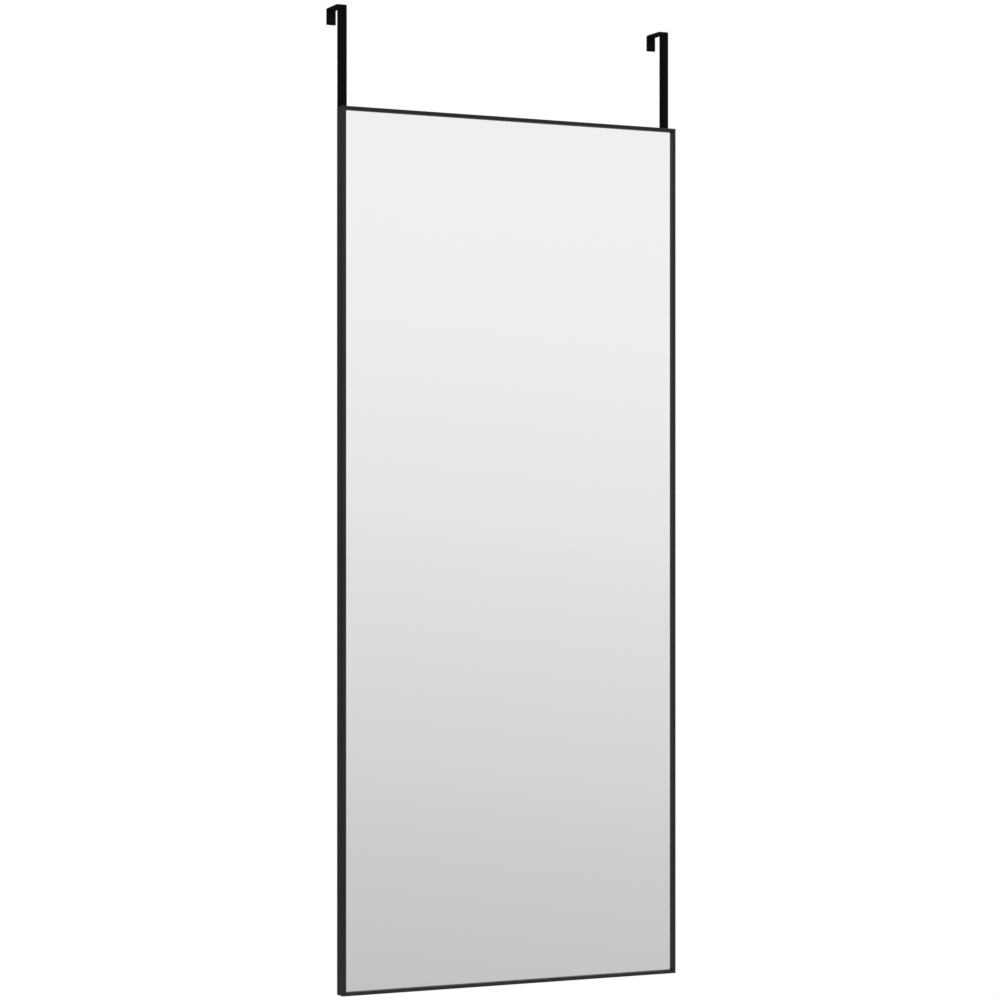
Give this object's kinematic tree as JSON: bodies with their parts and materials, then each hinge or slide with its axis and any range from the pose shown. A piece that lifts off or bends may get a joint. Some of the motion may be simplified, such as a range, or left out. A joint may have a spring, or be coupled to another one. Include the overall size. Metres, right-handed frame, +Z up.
{
  "type": "over the door mirror",
  "caption": "Tall framed mirror that hangs on a door's top edge by a pair of bent steel straps, with a thin dark metal frame around a flat glass.",
  "frame": {"origin": "where the door's top meets its front face, midway between the two hooks", "axes": "+Z up, the mirror faces -Y, +X to the right as seen from the front"},
  "size_m": [0.513, 0.061, 1.3405],
  "materials": {
    "frame": "satin dark grey coating",
    "glass_mirror": "silvered, polished",
    "film": "matt",
    "tape": "matt",
    "board": "pressed fibre board",
    "spring": "bright",
    "key": "zinc plated",
    "screw": "blackened",
    "strap": "satin black powder coat",
    "pad": "matt foam",
    "bumper": "matt"
  },
  "bodies": {
    "root": {"stile_left": "frame", "stile_right": "frame", "rail_top": "frame", "rail_bottom": "frame", "mirror_glass": "glass_mirror", "safety_film": "film", "bonding_tapes": "tape", "backing_board": "board", "panel_springs": "spring", "corner_key_top_left": "key", "corner_key_top_right": "key", "corner_key_bottom_left": "key", "corner_key_bottom_right": "key", "corner_set_screws": "screw", "hook_left": "strap", "hook_right": "strap", "nut_plate_left": "key", "nut_plate_right": "key", "hook_screws_left": "screw", "hook_screws_right": "screw", "hook_pad_left": "pad", "hook_pad_right": "pad", "bumper_left": "bumper", "bumper_right": "bumper"}
  },
  "joints": []
}
